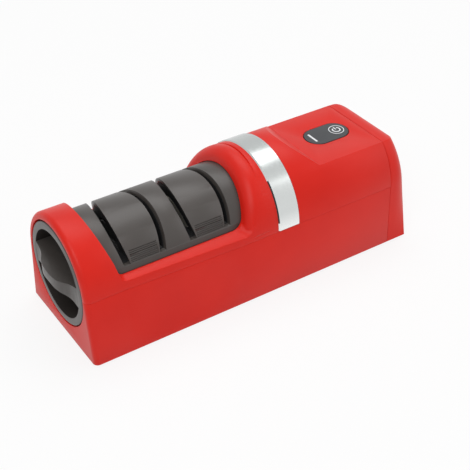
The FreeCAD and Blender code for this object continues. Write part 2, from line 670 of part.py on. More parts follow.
def battery_cells():
    cells = []
    for side in (-1, 1):
        y = side * size("cell_y")
        cell = rod(size("cell_radius"), CELL_X, CELL_X + size("cell_length") - 1.2, y, CELL_Z)
        tip = rod(2.6, CELL_X + size("cell_length") - 1.2, CELL_X + size("cell_length"), y, CELL_Z)
        cells.append(cell.fuse(tip))
    return Part.makeCompound(cells)


# Switch body and inlet are small boxes with a bore or a mouth
def push_switch():
    half = size("switch_size") / 2
    top = BOARD_TOP + size("switch_tall")
    switch = block(BUTTON_X - half, BUTTON_X + half, -half, half, BOARD_TOP, top)
    deep = size("plunger_sunk") + size("button_travel") + 0.2
    return switch.cut(post(size("plunger_radius") + size("running_fit"), BUTTON_X, 0, top - deep, top + 1))


def charging_inlet():
    wide = size("inlet_wide") / 2
    low = LIFT + size("inlet_height") - size("inlet_tall") / 2
    high = low + size("inlet_tall")
    x0 = REAR - size("inlet_length")
    shell = block(x0, REAR - 0.2, -wide, wide, low, high)
    shell = shell.cut(block(x0 + 1.2, REAR + 1, -wide + 0.4, wide - 0.4, low + 0.4, high - 0.4))
    middle = (low + high) / 2
    return shell.fuse(block(x0 + 0.6, REAR - 1.6, -wide + 1.2, wide - 1.2, middle - 0.35, middle + 0.35))


# Button cap: pill with a retaining flange, a stem on the switch plunger and a groove for the lamp
def power_button():
    top = FLAT + size("button_proud")
    under = FLAT - WALL - size("flange_gap")
    flange = size("button_flange")
    cap = pill(size("button_length"), size("button_width"), BUTTON_X, under - flange, top)
    edges = [e for e in cap.removeSplitter().Edges if abs(e.BoundBox.ZMin - top) < 1e-4]
    cap = cap.removeSplitter().makeFillet(0.3, edges)
    wide = 2 * flange
    cap = cap.fuse(pill(size("button_length") + wide, size("button_width") + wide, BUTTON_X, under - flange, under))
    stem_end = BOARD_TOP + size("switch_tall") + size("plunger_proud")
    cap = cap.fuse(post(size("stem_radius"), BUTTON_X, 0, stem_end, under))
    return clean(cap.cut(lamp_block(0.0, 1.0)))


def lamp_block(lower, extra):
    top = FLAT + size("button_proud")
    x = BUTTON_X - size("lamp_offset")
    half = size("lamp_width") / 2
    reach = size("lamp_length") / 2
    return block(x - half, x + half, -reach, reach, top - size("lamp_deep") + lower, top + extra)


# Parametric bodies: sketches on the body's own planes, sized from the sheet
def number(expression):
    return float(sheet.evalExpression(expression))


def start_body(label):
    body = doc.addObject("PartDesign::Body", label)
    body.Label = label
    return body


def start_sketch(body, plane, name):
    sketch = body.newObject("Sketcher::SketchObject", name)
    base = [item for item in body.Origin.OriginFeatures if item.Role == plane][0]
    sketch.AttachmentSupport = [(base, "")]
    sketch.MapMode = "FlatFace"
    return sketch


def fix(sketch, kind, geometry, point, expression):
    index = sketch.addConstraint(Sketcher.Constraint(kind, -1, 1, geometry, point, number(expression)))
    sketch.setExpression("Constraints[%d]" % index, expression)


def add_polygon(sketch, corners):
    values = [(number(u), number(v)) for u, v in corners]
    lines = []
    for index, (u, v) in enumerate(values):
        u2, v2 = values[(index + 1) % len(values)]
        lines.append(sketch.addGeometry(Part.LineSegment(Vector(u, v, 0), Vector(u2, v2, 0)), False))
    for index, line in enumerate(lines):
        following = lines[(index + 1) % len(lines)]
        sketch.addConstraint(Sketcher.Constraint("Coincident", line, 2, following, 1))
        fix(sketch, "DistanceX", line, 1, corners[index][0])
        fix(sketch, "DistanceY", line, 1, corners[index][1])


def add_circle(sketch, u, v, radius):
    circle = Part.Circle(Vector(number(u), number(v), 0), Vector(0, 0, 1), number(radius))
    index = sketch.addGeometry(circle, False)
    limit = sketch.addConstraint(Sketcher.Constraint("Radius", index, number(radius)))
    sketch.setExpression("Constraints[%d]" % limit, radius)
    fix(sketch, "DistanceX", index, 3, u)
    fix(sketch, "DistanceY", index, 3, v)


def place(body, x, y, z):
    for axis, expression in (("x", x), ("y", y), ("z", z)):
        body.setExpression("Placement.Base.%s" % axis, expression)


# A turned piece: corners are (along X, radius), turned about the body's own X axis
def turned(label, corners, x, z="Sheet.foot_proud + Sheet.barrel_height"):
    body = start_body(label)
    sketch = start_sketch(body, "XY_Plane", label + "_profile")
    add_polygon(sketch, corners)
    spin = body.newObject("PartDesign::Revolution", label + "_turn")
    spin.Profile = sketch
    spin.ReferenceAxis = (sketch, ["H_Axis"])
    spin.Angle = 360
    sketch.Visibility = False
    body.Tip = spin
    place(body, FACE + " + " + x, "0", z)
    return body


# A flat piece: loops drawn on one plane and padded along its normal
def padded(label, plane, loops, thick, x, y, z):
    body = start_body(label)
    sketch = start_sketch(body, plane, label + "_outline")
    for loop in loops:
        if len(loop) == 3 and not isinstance(loop[0], tuple):
            add_circle(sketch, *loop)
        else:
            add_polygon(sketch, loop)
    pad = body.newObject("PartDesign::Pad", label + "_pad")
    pad.Profile = sketch
    pad.setExpression("Length", thick)
    sketch.Visibility = False
    body.Tip = pad
    place(body, x, y, z)
    return body


# Blind holes drilled into a body from one of its own planes
def drill(body, plane, centres, radius, depth):
    sketch = start_sketch(body, plane, body.Label + "_holes")
    for u, v in centres:
        add_circle(sketch, u, v, radius)
    pocket = body.newObject("PartDesign::Pocket", body.Label + "_drill")
    pocket.Profile = sketch
    pocket.Reversed = True
    pocket.setExpression("Length", depth)
    sketch.Visibility = False
    body.Tip = pocket


def ring_profile(inner, outer, length):
    return [("0", inner), (length, inner), (length, outer), ("0", outer)]


def rectangle(wide, deep):
    return [("-(%s) / 2" % wide, "-(%s) / 2" % deep), ("(%s) / 2" % wide, "-(%s) / 2" % deep),
            ("(%s) / 2" % wide, "(%s) / 2" % deep), ("-(%s) / 2" % wide, "(%s) / 2" % deep)]


BORE_FIT = "Sheet.spindle_radius + Sheet.running_fit"
FACE = "-(Sheet.body_length - Sheet.grip_proud) / 2"


# Spindle: plain rod with one shoulder behind the fine wheel
def make_spindle():
    hub = "(Sheet.coarse_station + Sheet.station_pitch + Sheet.wheel_hub_length / 2 - Sheet.spindle_nose)"
    full = "(Sheet.spindle_end - Sheet.spindle_nose)"
    shoulder = hub + " + Sheet.shoulder_length"
    turned("spindle", [
        ("0", "0"), (full, "0"), (full, "Sheet.spindle_radius"), (shoulder, "Sheet.spindle_radius"),
        (shoulder, "Sheet.shoulder_radius"), (hub, "Sheet.shoulder_radius"),
        (hub, "Sheet.spindle_radius"), ("0", "Sheet.spindle_radius")], "Sheet.spindle_nose")


# Grinding wheel: two dished faces back to back, widest at the rim, on a hub
def make_wheel(label, station):
    length = "Sheet.wheel_hub_length"
    hub = "Sheet.wheel_hub_radius"
    rim = "Sheet.wheel_radius"
    face = "(Sheet.wheel_hub_length - Sheet.wheel_rim) / 2"
    waist = "(Sheet.wheel_hub_length - Sheet.wheel_waist) / 2"
    turned(label, [
        ("0", "Sheet.spindle_radius"), (length, "Sheet.spindle_radius"), (length, hub),
        (length + " - " + waist, hub + " + 0.6"), (length + " - " + face, rim), (face, rim),
        (waist, hub + " + 0.6"), ("0", hub)], station + " - Sheet.wheel_hub_length / 2")


def make_turned_pieces():
    make_spindle()
    make_wheel("coarse_wheel", "Sheet.coarse_station")
    make_wheel("fine_wheel", "Sheet.coarse_station + Sheet.station_pitch")
    turned("wheel_spacer", ring_profile("Sheet.spindle_radius", "Sheet.shoulder_radius",
                                        "(Sheet.station_pitch - Sheet.wheel_hub_length)"),
           "Sheet.coarse_station + Sheet.wheel_hub_length / 2")
    bush = ring_profile(BORE_FIT, "Sheet.bearing_radius", "Sheet.bearing_length")
    turned("front_bearing", bush, "Sheet.carrier_start + Sheet.carrier_thick / 2 - Sheet.bearing_length / 2 + 0.8")
    flange = "Sheet.bearing_radius + Sheet.bearing_flange"
    turned("rear_bearing", [
        ("0", BORE_FIT), ("Sheet.bearing_length", BORE_FIT), ("Sheet.bearing_length", "Sheet.bearing_radius"),
        ("Sheet.bearing_flange", "Sheet.bearing_radius"), ("Sheet.bearing_flange", flange), ("0", flange)],
        "Sheet.barrel_start + Sheet.barrel_length - Sheet.barrel_wall - Sheet.bearing_flange")
    turned("shaft_coupling", [
        ("0", "Sheet.spindle_radius"), ("Sheet.coupling_length / 2", "Sheet.spindle_radius"),
        ("Sheet.coupling_length / 2", "Sheet.rotor_radius"), ("Sheet.coupling_length", "Sheet.rotor_radius"),
        ("Sheet.coupling_length", "Sheet.coupling_radius"), ("0", "Sheet.coupling_radius")],
        "Sheet.spindle_end - Sheet.coupling_length / 2 + 0.2")
    turned("rotor_shaft", [
        ("0", "0"), ("Sheet.motor_start - Sheet.spindle_end - 0.6 + Sheet.motor_length + 3", "0"), ("Sheet.motor_start - Sheet.spindle_end - 0.6 + Sheet.motor_length + 3", "Sheet.rotor_radius"),
        ("0", "Sheet.rotor_radius")], "Sheet.spindle_end + 0.6")
    armature = "Sheet.motor_radius - Sheet.motor_wall - Sheet.armature_gap"
    turned("armature", ring_profile("Sheet.rotor_radius", armature, "(Sheet.motor_length - 2 * Sheet.motor_cap - 6)"),
           "Sheet.motor_start + Sheet.motor_cap + 3")
    rotor_bore = "Sheet.rotor_radius + Sheet.running_fit"
    inner = "Sheet.motor_radius - Sheet.motor_wall"
    length = "Sheet.motor_length"
    cap = "Sheet.motor_cap"
    case = turned("motor_case", [
        ("0", rotor_bore), (cap, rotor_bore), (cap, inner), (length + " - " + cap, inner),
        (length + " - " + cap, rotor_bore), (length + " + 1.6", rotor_bore), (length + " + 1.6", "4"),
        (length, "4"), (length, "Sheet.motor_radius"), ("0", "Sheet.motor_radius")], "Sheet.motor_start")
    drill(case, "YZ_Plane", [("-Sheet.motor_screw_y", "0"), ("Sheet.motor_screw_y", "0")],
          "Sheet.motor_screw_radius + 0.05", "Sheet.motor_screw_bite + 0.2")
    turned("knob_seal", ring_profile("Sheet.knob_radius - Sheet.seal_width - 1.4", "Sheet.knob_radius - 1.4",
                                     "0.3"),
           "Sheet.barrel_start - 0.3", "Sheet.foot_proud + Sheet.knob_height")


def make_flat_pieces():
    axis_z = "Sheet.foot_proud + Sheet.barrel_height"
    front = FACE + " + "
    outer = "Sheet.barrel_radius - Sheet.barrel_wall - 0.05"
    windows = [("0", "13.2", "5.6"), ("11.4", "-6.6", "5.6"), ("-11.4", "-6.6", "5.6")]
    padded("bearing_carrier", "YZ_Plane",
           [("0", "0", outer), ("0", "0", "Sheet.bearing_radius")] + windows,
           "Sheet.carrier_thick", front + "Sheet.carrier_start", "0", axis_z)
    padded("spindle_nut", "YZ_Plane",
           [[("Sheet.nut_radius * cos(%d)" % turn, "Sheet.nut_radius * sin(%d)" % turn)
             for turn in range(0, 360, 60)], ("0", "0", "Sheet.spindle_radius")],
           "Sheet.nut_thick",
           front + "Sheet.coarse_station - Sheet.wheel_hub_length / 2 - Sheet.nut_thick", "0", axis_z)
    half = "Sheet.mount_width / 2"
    plate = [("-" + half, "-Sheet.mount_drop"), (half, "-Sheet.mount_drop"), (half, "Sheet.mount_rise - 6"),
             (half + " - 6", "Sheet.mount_rise"), ("-" + half + " + 6", "Sheet.mount_rise"),
             ("-" + half, "Sheet.mount_rise - 6")]
    holes = [("0", "0", "3.2")]
    for sign in ("-", ""):
        holes.append((sign + "Sheet.mount_post_y", "-Sheet.mount_post_drop", "Sheet.screw_radius"))
        holes.append((sign + "Sheet.motor_screw_y", "0", "Sheet.motor_screw_radius"))
    padded("motor_mount", "YZ_Plane", [plate] + holes, "Sheet.mount_thick",
           front + "Sheet.motor_start - Sheet.mount_thick", "0", axis_z)
    inset = "Sheet.board_post_inset"
    board_holes = []
    for sx in ("-", ""):
        for sy in ("-", ""):
            board_holes.append(("%s(Sheet.board_length / 2 - %s)" % (sx, inset),
                                "%s(Sheet.board_width / 2 - %s)" % (sy, inset), "Sheet.screw_radius"))
    padded("control_board", "XY_Plane", [rectangle("Sheet.board_length", "Sheet.board_width")] + board_holes,
           "Sheet.board_thick", front + "Sheet.board_start + Sheet.board_length / 2", "0",
           "Sheet.foot_proud + Sheet.board_top - Sheet.board_thick")
    padded("charging_board", "XY_Plane", [rectangle("Sheet.charge_board_length", "Sheet.charge_board_width")],
           "Sheet.charge_board_thick",
           FACE + " + Sheet.body_length - Sheet.wall - Sheet.charge_board_length / 2", "0",
           "Sheet.foot_proud + Sheet.inlet_height - Sheet.inlet_tall / 2 - Sheet.charge_board_thick")
    padded("switch_plunger", "XY_Plane", [("0", "0", "Sheet.plunger_radius")],
           "Sheet.plunger_proud + Sheet.plunger_sunk", front + "Sheet.button_middle", "0",
           "Sheet.foot_proud + Sheet.board_top + Sheet.switch_tall - Sheet.plunger_sunk")


# Battery tray: floor plate and two end walls, drawn as one side profile
def make_tray():
    thick = "Sheet.tray_thick"
    run = "Sheet.cell_length + 2 * Sheet.tray_thick + 0.4"
    profile = [("0", "0"), (run, "0"), (run, "Sheet.tray_wall"), (run + " - " + thick, "Sheet.tray_wall"),
               (run + " - " + thick, thick), (thick, thick), (thick, "Sheet.tray_wall"), ("0", "Sheet.tray_wall")]
    padded("battery_tray", "XZ_Plane", [profile], "2 * (Sheet.cell_y + Sheet.cell_radius + 0.6)",
           FACE + " + Sheet.cell_start - Sheet.tray_thick - 0.2",
           "Sheet.cell_y + Sheet.cell_radius + 0.6", "Sheet.foot_proud + Sheet.cover_thick")


# Build every piece
piece("lower_housing", lower_housing())
piece("upper_housing", upper_housing())
piece("rear_cap", rear_cap())
piece("base_cover", base_cover())
piece("rubber_feet", rubber_feet())
piece("base_screws", base_screws())
piece("chrome_band", chrome_band())
piece("barrel_cover", barrel_cover())
piece("front_blade_guide", blade_guide(STATIONS[0]))
piece("rear_blade_guide", blade_guide(STATIONS[1]))
piece("knob_cap", knob_cap())
piece("board_screws", board_screws())
piece("mount_screws", mount_screws())
piece("motor_screws", motor_screws())
piece("battery_cells", battery_cells())
piece("push_switch", push_switch())
piece("charging_inlet", charging_inlet())
piece("power_button", power_button())
piece("indicator_window", lamp_block(0.0, 0.0))
make_turned_pieces()
make_flat_pieces()
make_tray()
doc.recompute()

# Check and write every piece
os.makedirs("parts", exist_ok=True)
for old in os.listdir("parts"):
    if old.endswith(".step"):
        os.remove(os.path.join("parts", old))
bad = [item.Name for item in doc.Objects if "Invalid" in item.State or "Error" in item.State]
if bad:
    raise RuntimeError("pieces in error: " + ", ".join(bad))
written = 0
for item in doc.Objects:
    if item.TypeId not in ("Part::Feature", "PartDesign::Body"):
        continue
    if item.Shape.isNull() or not item.Shape.isValid() or item.Shape.Volume <= 0:
        raise RuntimeError("bad shape: " + item.Label)
    item.Shape.exportStep(os.path.join("parts", item.Label + ".step"))
    box = item.Shape.BoundBox
    print("%-18s vol %9.1f  solids %d  x %.1f %.1f  y %.1f %.1f  z %.1f %.1f" % (
        item.Label, item.Shape.Volume, len(item.Shape.Solids),
        box.XMin, box.XMax, box.YMin, box.YMax, box.ZMin, box.ZMax))
    written += 1
print("wrote", written)
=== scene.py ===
# %% [markdown]
# # An electric knife sharpener, dressed for its photograph
# The solid model comes in as a fixed frame. Each cell below takes one piece or one finish of the real
# sharpener, says how it is made in the factory, and then models it with ordinary Blender tools.

# %% Load the frame
import json
import math
import bpy
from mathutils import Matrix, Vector

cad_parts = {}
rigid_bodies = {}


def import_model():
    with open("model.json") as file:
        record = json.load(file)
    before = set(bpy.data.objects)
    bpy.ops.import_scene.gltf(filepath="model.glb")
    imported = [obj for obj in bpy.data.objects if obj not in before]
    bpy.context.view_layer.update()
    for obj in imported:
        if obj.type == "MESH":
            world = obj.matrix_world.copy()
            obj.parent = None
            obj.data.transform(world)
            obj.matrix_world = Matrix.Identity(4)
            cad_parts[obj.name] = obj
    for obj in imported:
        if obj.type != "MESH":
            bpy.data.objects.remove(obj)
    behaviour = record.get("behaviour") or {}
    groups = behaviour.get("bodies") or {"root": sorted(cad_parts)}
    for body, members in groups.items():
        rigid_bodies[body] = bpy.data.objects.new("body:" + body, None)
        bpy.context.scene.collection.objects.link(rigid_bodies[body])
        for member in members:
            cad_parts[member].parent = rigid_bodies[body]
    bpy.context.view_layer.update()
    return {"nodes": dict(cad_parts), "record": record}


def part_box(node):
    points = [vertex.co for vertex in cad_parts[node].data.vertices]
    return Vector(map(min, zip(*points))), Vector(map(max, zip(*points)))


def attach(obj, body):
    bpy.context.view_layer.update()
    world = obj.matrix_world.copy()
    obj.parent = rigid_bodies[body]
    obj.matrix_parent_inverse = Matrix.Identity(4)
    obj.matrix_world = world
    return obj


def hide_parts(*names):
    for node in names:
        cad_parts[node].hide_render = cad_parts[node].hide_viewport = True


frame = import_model()
nodes = frame["nodes"]
bodies = frame["record"]["behaviour"]["bodies"]
home = {node: body for body, members in bodies.items() for node in members}
print("pieces in the frame:", len(nodes))

# %% [markdown]
# ## Units and the camera
# Blender counts in metres. Sizes here are written in millimetres, as on a drawing, and multiplied by MM.
# The camera stands where the photographer's did: the outline of the body gave its direction and distance.

# %% Camera
MM = 0.001
FEET_MM = 0.8
CAMERA_MM = (-219.11, -341.61, 316.86 + FEET_MM)
AZIMUTH, ELEVATION = math.radians(-33.57), math.radians(36.48)

camera_data = bpy.data.cameras.new("Photo_Camera")
camera_data.sensor_width = 36.0
camera_data.lens = 80.24
camera_data.dof.use_dof = False
camera = bpy.data.objects.new("Photo_Camera", camera_data)
bpy.context.scene.collection.objects.link(camera)
camera.location = Vector(CAMERA_MM) * MM
forward = Vector((-math.sin(AZIMUTH) * math.cos(ELEVATION),
                  math.cos(AZIMUTH) * math.cos(ELEVATION),
                  -math.sin(ELEVATION)))
camera.rotation_euler = forward.to_track_quat("-Z", "Y").to_euler()
bpy.context.scene.camera = camera
print("camera at", [round(c, 3) for c in camera.location])

# %% [markdown]
# ## Colour and node helpers
# Colours are written as the hex values that a picture editor shows. Shaders work with linear light, so one
# function converts them. A second one adds a shader node, sets its values, wires its inputs and places the
# stops of a colour ramp. A third starts a material whose patterns will read Object coordinates.

# %% Colour and node helpers


def linear(hex_code):
    parts = [int(hex_code[i:i + 2], 16) / 255 for i in (0, 2, 4)]
    return tuple(c / 12.92 if c <= 0.04045 else ((c + 0.055) / 1.055) ** 2.4 for c in parts) + (1.0,)


def add(tree, kind, settings=None, stops=(), **inputs):
    node = tree.nodes.new("ShaderNode" + kind)
    for key, value in (settings or {}).items():
        setattr(node, key, value)
    for key, value in inputs.items():
        numbered = key[0] == "i" and key[1:].isdigit()
        socket = node.inputs[int(key[1:]) if numbered else key.replace("_", " ")]
        if isinstance(value, bpy.types.NodeSocket):
            tree.links.new(value, socket)
        else:
            socket.default_value = value
    if stops:
        marks = node.color_ramp.elements
        marks[0].position, marks[0].color = stops[0][0], linear(stops[0][1])
        marks[1].position, marks[1].color = stops[-1][0], linear(stops[-1][1])
        for position, colour in stops[1:-1]:
            marks.new(position).color = linear(colour)
    return node


def new_material(name):
    material = bpy.data.materials.new(name)
    material.use_nodes = True
    tree = material.node_tree
    shader = tree.nodes["Principled BSDF"]
    coordinates = add(tree, "TexCoord").outputs["Object"]
    return material, tree, shader, coordinates


print("middle grey in linear light:", round(linear("808080")[0], 3))

# %% [markdown]
# ## Moulded ABS
# The housing, the barrel and the button are injection-moulded ABS. The mould is spark-eroded, which leaves
# a fine grain that softens reflections. The real grain is too fine for the picture, so it is drawn 0.35 to
# 0.5 mm wide, as a small noise bump. The colour drifts by a few percent over 35 mm, as it does where the
# melt flowed. The red is bright and even with a semi-gloss skin. The barrel's grey is warm and satin.

# %% Moulded plastics
DRIFT_MM = 35.0
ABS_IOR = 1.53


def moulded_abs(name, main, deep, roughness, grain_mm, grain_depth_mm, sheen=0.4):
    material, tree, shader, at = new_material(name)
    drift = add(tree, "TexNoise", Vector=at, Scale=1 / (DRIFT_MM * MM), Detail=3.0, Roughness=0.55)
    colour = add(tree, "ValToRGB", stops=[(0.3, deep), (0.7, main)], Fac=drift.outputs["Fac"])
    tree.links.new(colour.outputs["Color"], shader.inputs["Base Color"])
    grain = add(tree, "TexNoise", Vector=at, Scale=1 / (grain_mm * MM), Detail=4.0, Roughness=0.6)
    gloss = add(tree, "MapRange", Value=grain.outputs["Fac"],
                To_Min=roughness - 0.04, To_Max=roughness + 0.05)
    tree.links.new(gloss.outputs["Result"], shader.inputs["Roughness"])
    bump = add(tree, "Bump", Height=grain.outputs["Fac"], Distance=grain_depth_mm * MM, Strength=0.5)
    tree.links.new(bump.outputs["Normal"], shader.inputs["Normal"])
    shader.inputs["IOR"].default_value = ABS_IOR
    shader.inputs["Specular IOR Level"].default_value = sheen
    return material


red_abs = moulded_abs("Red_ABS_semi_gloss", "DB2214", "D31E11", 0.40, 0.5, 0.012, sheen=0.22)
grey_abs = moulded_abs("Warm_Grey_ABS_satin", "484340", "413D3A", 0.36, 0.35, 0.012)
black_abs = moulded_abs("Black_ABS_matt", "1B1B1C", "151516", 0.55, 0.4, 0.02)
charcoal_abs = moulded_abs("Charcoal_ABS_button", "34373A", "2E3134", 0.42, 0.4, 0.012)
print("plastics:", red_abs.name, grey_abs.name, black_abs.name, charcoal_abs.name)

# %% [markdown]
# ## Chromed trim
# The band is ABS that was plated: nickel under a thin chrome layer, then buffed. A ripple 9 mm long keeps
# its reflections from being perfect. This room is plain white and gives a mirror little to show, so the
# slow fall from light to grey up the band is a painted reflection, a colour ramp on height. A second,
# darker colour paints the dark reflection on the stretch of the front chamfer that shows dark. Screws and
# small steel parts are zinc-plated.

# %% Chromed trim
BAND_FOOT, BAND_TOP = 34, 63


def plated(name, colour, roughness, ripple_mm, ripple_depth_mm):
    material, tree, shader, at = new_material(name)
    ripple = add(tree, "TexNoise", Vector=at, Scale=1 / (ripple_mm * MM), Detail=2.0)
    bump = add(tree, "Bump", Height=ripple.outputs["Fac"], Distance=ripple_depth_mm * MM, Strength=0.3)
    tree.links.new(bump.outputs["Normal"], shader.inputs["Normal"])
    smear = add(tree, "TexNoise", Vector=at, Scale=1 / (1.2 * MM), Detail=3.0)
    gloss = add(tree, "MapRange", Value=smear.outputs["Fac"],
                To_Min=roughness * 0.7, To_Max=roughness * 1.5)
    tree.links.new(gloss.outputs["Result"], shader.inputs["Roughness"])
    shader.inputs["Base Color"].default_value = linear(colour)
    shader.inputs["Metallic"].default_value = 1.0
    return material


chrome = plated("Chrome_Plate_on_ABS", "E4E6E8", 0.20, 9.0, 0.03)
tree = chrome.node_tree
place = add(tree, "SeparateXYZ", Vector=tree.nodes["Texture Coordinate"].outputs["Object"])
height = add(tree, "MapRange", Value=place.outputs["Z"], From_Min=BAND_FOOT * MM, From_Max=BAND_TOP * MM)
fall = add(tree, "ValToRGB", stops=[(0.0, "F0F2F1"), (0.25, "D4D7D6"), (0.6, "C9CCCB"), (1.0, "B6BAB9")],
           Fac=height.outputs["Result"])
tree.links.new(fall.outputs["Color"], tree.nodes["Principled BSDF"].inputs["Base Color"])
# A painted dark reflection for one stretch of the band's front chamfer.
dark_reflection_chrome = plated("Chrome_Plate_painted_dark_reflection", "3A3A3B", 0.22, 9.0, 0.03)
bright_steel = plated("Zinc_Plated_Steel", "B9BCC0", 0.28, 3.0, 0.02)
print("plated:", chrome.name, dark_reflection_chrome.name, bright_steel.name)

# %% [markdown]
# ## Turned and drawn metal
# Spindle, spacer and motor case are turned or drawn, which leaves fine lines round the X axis. Stretching a
# noise along the two other directions and squeezing it along X gives rings 0.15 to 0.5 mm apart.

# %% Turned metal


def turned_metal(name, light, dark, roughness, ring_mm):
    material, tree, shader, at = new_material(name)
    squeezed = add(tree, "Mapping", Vector=at, Scale=(1 / (ring_mm * MM), 12.0, 12.0))
    rings = add(tree, "TexNoise", Vector=squeezed.outputs["Vector"], Scale=1.0, Detail=2.0)
    colour = add(tree, "ValToRGB", stops=[(0.35, dark), (0.65, light)], Fac=rings.outputs["Fac"])
    tree.links.new(colour.outputs["Color"], shader.inputs["Base Color"])
    bump = add(tree, "Bump", Height=rings.outputs["Fac"], Distance=0.01 * MM, Strength=0.6)
    tree.links.new(bump.outputs["Normal"], shader.inputs["Normal"])
    gloss = add(tree, "MapRange", Value=rings.outputs["Fac"],
                To_Min=roughness - 0.06, To_Max=roughness + 0.08)
    tree.links.new(gloss.outputs["Result"], shader.inputs["Roughness"])
    shader.inputs["Metallic"].default_value = 1.0
    return material


turned_steel = turned_metal("Turned_Carbon_Steel", "B4B6B8", "8F9194", 0.32, 0.15)
sintered_bronze = turned_metal("Sintered_Bronze", "B28A55", "94703F", 0.45, 0.2)
motor_steel = turned_metal("Drawn_Steel_Can", "A6A9AC", "8D9093", 0.36, 0.3)
winding_copper = turned_metal("Enamelled_Copper_Winding", "B4633A", "7E3F22", 0.35, 0.5)
print("metals:", turned_steel.name, sintered_bronze.name, motor_steel.name, winding_copper.name)

# %% [markdown]
# ## Abrasive wheels
# The coarse wheel is grey silicon carbide in a resin bond, about 120 grit. The fine one is white ceramic.
# Grit of 0.12 mm is too fine for the picture, so cells of 0.5 mm on one wheel and 0.35 mm on the other
# stand in for it.

# %% Abrasives


def abrasive(name, stone, bond, grit_mm):
    material, tree, shader, at = new_material(name)
    grit = add(tree, "TexVoronoi", Vector=at, Scale=1 / (grit_mm * MM))
    colour = add(tree, "ValToRGB", stops=[(0.1, stone), (0.6, bond)], Fac=grit.outputs["Distance"])
    tree.links.new(colour.outputs["Color"], shader.inputs["Base Color"])
    bump = add(tree, "Bump", {"invert": True}, Height=grit.outputs["Distance"],
               Distance=0.12 * MM, Strength=0.8)
    tree.links.new(bump.outputs["Normal"], shader.inputs["Normal"])
    shader.inputs["Roughness"].default_value = 0.82
    return material


coarse_stone = abrasive("Silicon_Carbide_Wheel", "6A6968", "3B3A3A", 0.5)
fine_stone = abrasive("White_Ceramic_Wheel", "DAD6CF", "B7B2A9", 0.35)
print("abrasives:", coarse_stone.name, fine_stone.name)

# %% [markdown]
# ## Rubber, boards, cells and print
# The feet and the seal are moulded rubber, matt and slightly grey with dust. Circuit boards are glass-epoxy
# with green solder mask. The cells wear a blue shrink sleeve. The icon on the button is pad-printed white.

# %% Small finishes


def plain_finish(name, light, dark, roughness, size_mm, depth_mm):
    material, tree, shader, at = new_material(name)
    mottle = add(tree, "TexNoise", Vector=at, Scale=1 / (size_mm * MM), Detail=5.0, Roughness=0.65)
    colour = add(tree, "ValToRGB", stops=[(0.35, dark), (0.65, light)], Fac=mottle.outputs["Fac"])
    tree.links.new(colour.outputs["Color"], shader.inputs["Base Color"])
    bump = add(tree, "Bump", Height=mottle.outputs["Fac"], Distance=depth_mm * MM, Strength=0.5)
    tree.links.new(bump.outputs["Normal"], shader.inputs["Normal"])
    shader.inputs["Roughness"].default_value = roughness
    return material


foot_rubber = plain_finish("Moulded_Nitrile_Rubber", "242424", "1A1A1A", 0.8, 0.6, 0.05)
solder_mask = plain_finish("Glass_Epoxy_Green_Mask", "1E6B3A", "175A30", 0.35, 2.0, 0.01)
shrink_sleeve = plain_finish("Blue_PVC_Shrink_Sleeve", "2A5AA6", "234C90", 0.3, 6.0, 0.02)
white_ink = plain_finish("White_Pad_Print_Ink", "F0F2F4", "E2E5E8", 0.5, 0.8, 0.004)
print("materials:", len(bpy.data.materials))

# %% [markdown]
# ## Working with mesh tools
# An operator acts on all that is selected, so each step starts from nothing selected. A CAD piece is a set
# of loose triangles, so a copy of it has its doubles merged and its flat areas made single faces.

# %% Mesh helpers


def deselect():
    if bpy.context.object and bpy.context.object.mode != "OBJECT":
        bpy.ops.object.mode_set(mode="OBJECT")
    bpy.ops.object.select_all(action="DESELECT")


def activate(piece):
    deselect()
    piece.select_set(True)
    bpy.context.view_layer.objects.active = piece


def edit_all(piece):
    activate(piece)
    bpy.ops.object.mode_set(mode="EDIT")
    bpy.ops.mesh.select_all(action="SELECT")


def copy_of(node, name):
    activate(nodes[node])
    bpy.ops.object.duplicate()
    piece = bpy.context.active_object
    piece.name = name
    bpy.ops.object.parent_clear(type="CLEAR_KEEP_TRANSFORM")
    edit_all(piece)
    bpy.ops.mesh.remove_doubles(threshold=0.002 * MM)
    bpy.ops.mesh.dissolve_limited(angle_limit=math.radians(0.3))
    bpy.ops.object.mode_set(mode="OBJECT")
    return piece


def finish_piece(piece, material, body):
    activate(piece)
    bpy.ops.object.transform_apply(location=True, rotation=True, scale=True)
    piece.data.materials.clear()
    piece.data.materials.append(material)
    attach(piece, body)
    print(piece.name, len(piece.data.polygons), "faces")
    return piece


print("pieces that can be copied:", ", ".join(sorted(nodes)[:5]), "and", len(nodes) - 5, "more")

# %% [markdown]
# ## Rounded edges
# A mould leaves a small radius on each edge, and that radius is what catches the light. Here the sharp
# edges are selected, a rule on their two end points drops the ones that should stay, and the rest is
# bevelled.

# %% Rounded edges
SHARP, SMOOTH = math.radians(35.0), math.radians(32.0)


def smooth_by_angle(piece):
    activate(piece)
    bpy.ops.object.shade_smooth_by_angle(angle=SMOOTH)


def bevel_picked(piece, rule, width_mm, segments):
    activate(piece)
    bpy.ops.object.mode_set(mode="EDIT")
    bpy.ops.mesh.select_mode(type="EDGE")
    bpy.ops.mesh.select_all(action="DESELECT")
    bpy.ops.mesh.edges_select_sharp(sharpness=SHARP)
    bpy.ops.object.mode_set(mode="OBJECT")
    points = piece.data.vertices
    for edge in piece.data.edges:
        edge.select = edge.select and rule(*[points[i].co / MM for i in edge.vertices])
    bpy.ops.object.mode_set(mode="EDIT")
    bpy.ops.mesh.bevel(offset=width_mm * MM, segments=segments, clamp_overlap=True, miter_outer="ARC")
    bpy.ops.mesh.select_mode(type="VERT")
    smooth_by_angle(piece)


print("an edge is sharp from", round(math.degrees(SHARP)), "degrees")

# %% [markdown]
# ## The red housing
# Lower tub, upper casing and rear cap are three mouldings. Their copies get a small radius on each sharp
# edge. Behind the chrome band the mouldings are fitted so closely that the joint hardly shows, so there
# its edges stay sharp.

